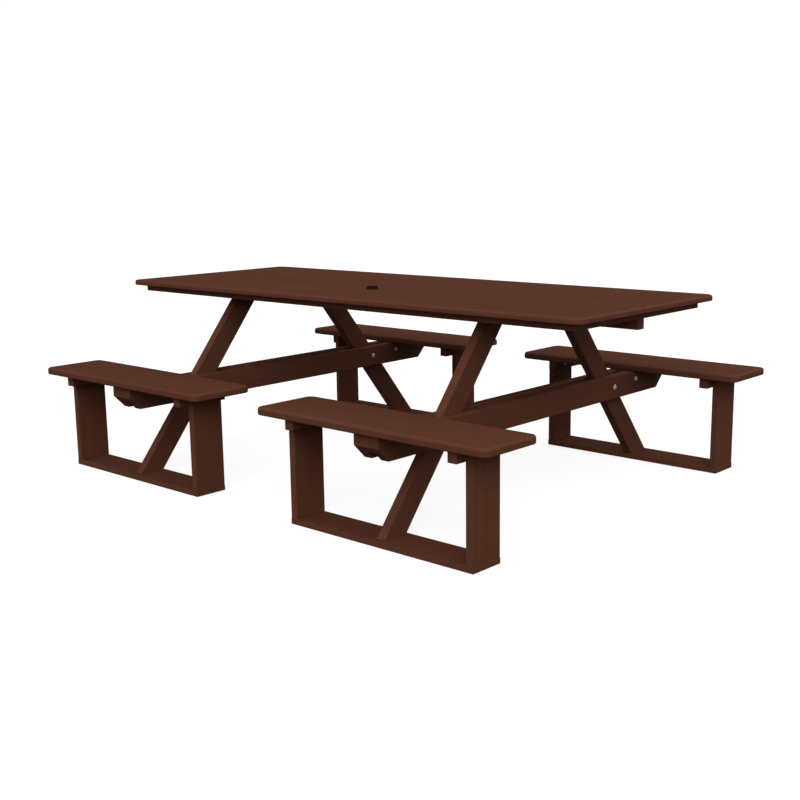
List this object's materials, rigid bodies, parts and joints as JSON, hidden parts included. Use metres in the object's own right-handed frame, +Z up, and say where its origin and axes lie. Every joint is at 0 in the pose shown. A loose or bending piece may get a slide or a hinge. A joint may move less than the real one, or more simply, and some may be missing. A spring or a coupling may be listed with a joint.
{
  "type": "picnic table",
  "caption": "Walk-in picnic table in solid plastic lumber: one slab top on two A-frames that carry four separate benches, with an umbrella hole.",
  "frame": {"origin": "on the ground under the centre of the table top", "axes": "+X along the table's length towards the right end, +Y across it away from the front benches, +Z up"},
  "size_m": [2.438, 1.866, 0.782],
  "materials": {
    "brown_sheet": "chocolate-brown solid plastic sheet with a fine moulded grain, satin",
    "brown_lumber": "chocolate-brown plastic lumber with a fine drawn grain, satin",
    "dark_plastic": "near-black brown moulded plastic, satin",
    "stainless_steel": "stainless steel fasteners, satin"
  },
  "bodies": {
    "root": {"base_board_left_back": "brown_lumber", "base_board_left_front": "brown_lumber", "base_board_right_back": "brown_lumber", "base_board_right_front": "brown_lumber", "base_screws": "stainless_steel", "batten_screws": "stainless_steel", "centre_stringer": "brown_lumber", "cross_cleat_left_back": "brown_lumber", "cross_cleat_left_front": "brown_lumber", "cross_cleat_right_back": "brown_lumber", "cross_cleat_right_front": "brown_lumber", "cross_cleat_screws": "stainless_steel", "edge_batten_back": "brown_lumber", "edge_batten_front": "brown_lumber", "edge_batten_left": "brown_lumber", "edge_batten_right": "brown_lumber", "filler_block_left_back": "brown_lumber", "filler_block_left_front": "brown_lumber", "filler_block_right_back": "brown_lumber", "filler_block_right_front": "brown_lumber", "filler_screws": "stainless_steel", "frame_bolts": "stainless_steel", "frame_nuts": "stainless_steel", "frame_washers": "stainless_steel", "leg_head_bolts": "stainless_steel", "leg_head_nuts": "stainless_steel", "leg_head_washers": "stainless_steel", "leg_left_back": "brown_lumber", "leg_left_front": "brown_lumber", "leg_right_back": "brown_lumber", "leg_right_front": "brown_lumber", "seat_beam_left_a": "brown_lumber", "seat_beam_left_b": "brown_lumber", "seat_beam_right_a": "brown_lumber", "seat_beam_right_b": "brown_lumber", "seat_cleat_left_back_a": "brown_lumber", "seat_cleat_left_back_b": "brown_lumber", "seat_cleat_left_front_a": "brown_lumber", "seat_cleat_left_front_b": "brown_lumber", "seat_cleat_right_back_a": "brown_lumber", "seat_cleat_right_back_b": "brown_lumber", "seat_cleat_right_front_a": "brown_lumber", "seat_cleat_right_front_b": "brown_lumber", "seat_cleat_screws": "stainless_steel", "seat_left_back": "brown_sheet", "seat_left_front": "brown_sheet", "seat_right_back": "brown_sheet", "seat_right_front": "brown_sheet", "stringer_screws": "stainless_steel", "table_top": "brown_sheet", "umbrella_collar": "dark_plastic", "upright_left_back_a": "brown_lumber", "upright_left_back_b": "brown_lumber", "upright_left_front_a": "brown_lumber", "upright_left_front_b": "brown_lumber", "upright_right_back_a": "brown_lumber", "upright_right_back_b": "brown_lumber", "upright_right_front_a": "brown_lumber", "upright_right_front_b": "brown_lumber", "upright_side_screws": "stainless_steel"}
  },
  "joints": []
}
